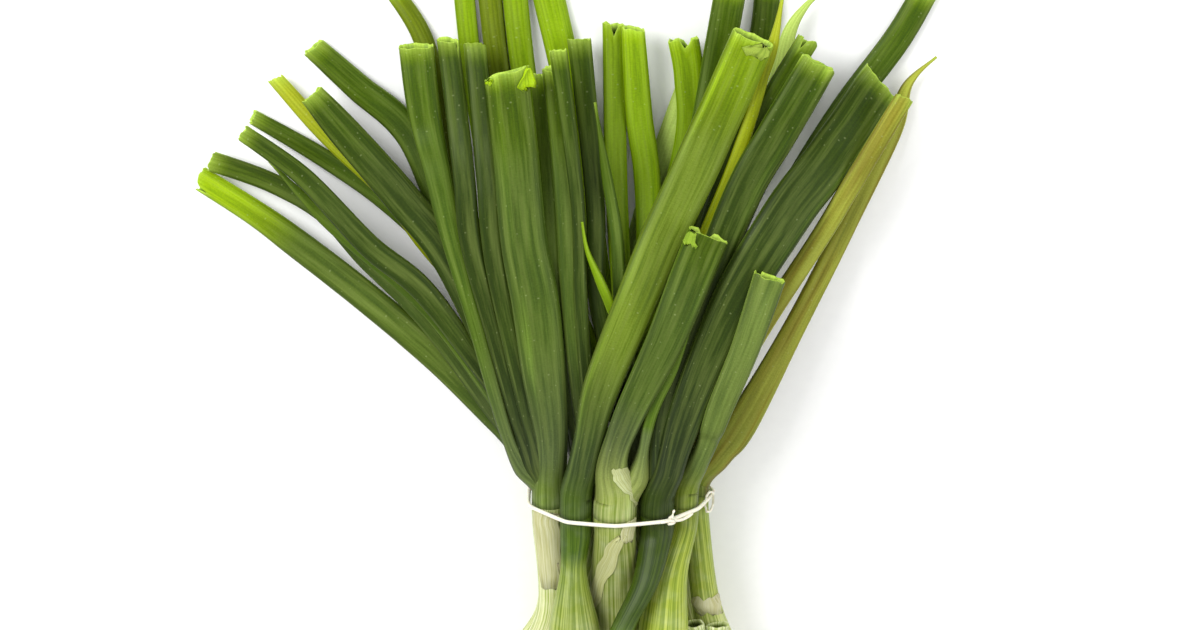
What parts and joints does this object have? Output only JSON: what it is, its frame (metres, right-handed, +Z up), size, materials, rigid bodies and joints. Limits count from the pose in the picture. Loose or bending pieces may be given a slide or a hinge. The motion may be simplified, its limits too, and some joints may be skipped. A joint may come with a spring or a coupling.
{
  "type": "spring onion bunch",
  "caption": "Bunch of spring onions lying down, hollow green leaves fanned out and trimmed, pale bulbs with roots, held by one thin rubber band.",
  "frame": {"origin": "middle of the surface under the bunch, at the bottom centre of its box", "axes": "+Y along the bunch towards the leaf tips, +Z up from the surface it lies on, +X to the right seen from above"},
  "size_m": [0.2384, 0.2692, 0.0642],
  "materials": {
    "leaf": "waxy green leaf with fine ribs along it, stands in as a soft organic skin",
    "neck_and_bulb": "moist pale green to white skin with fine veins and papery outer sheaths",
    "roots": "dry straw coloured fibres",
    "rubber_band": "off-white stretched rubber"
  },
  "bodies": {
    "root": {"floor_left_leaves": "leaf", "floor_left_bulb": "neck_and_bulb", "floor_left_roots": "roots", "floor_right_leaves": "leaf", "floor_right_bulb": "neck_and_bulb", "floor_right_roots": "roots", "low_right_leaves": "leaf", "low_right_bulb": "neck_and_bulb", "low_right_roots": "roots", "low_left_leaves": "leaf", "low_left_bulb": "neck_and_bulb", "low_left_roots": "roots", "side_right_leaves": "leaf", "side_right_bulb": "neck_and_bulb", "side_right_roots": "roots", "inner_right_leaves": "leaf", "inner_right_bulb": "neck_and_bulb", "inner_right_roots": "roots", "inner_left_leaves": "leaf", "inner_left_bulb": "neck_and_bulb", "inner_left_roots": "roots", "side_left_leaves": "leaf", "side_left_bulb": "neck_and_bulb", "side_left_roots": "roots", "dark_front_leaves": "leaf", "dark_front_bulb": "neck_and_bulb", "dark_front_roots": "roots", "front_right_leaves": "leaf", "front_right_bulb": "neck_and_bulb", "front_right_roots": "roots", "front_left_leaves": "leaf", "front_left_bulb": "neck_and_bulb", "front_left_roots": "roots", "front_middle_leaves": "leaf", "front_middle_bulb": "neck_and_bulb", "front_middle_roots": "roots", "rubber_band": "rubber_band"}
  },
  "joints": []
}
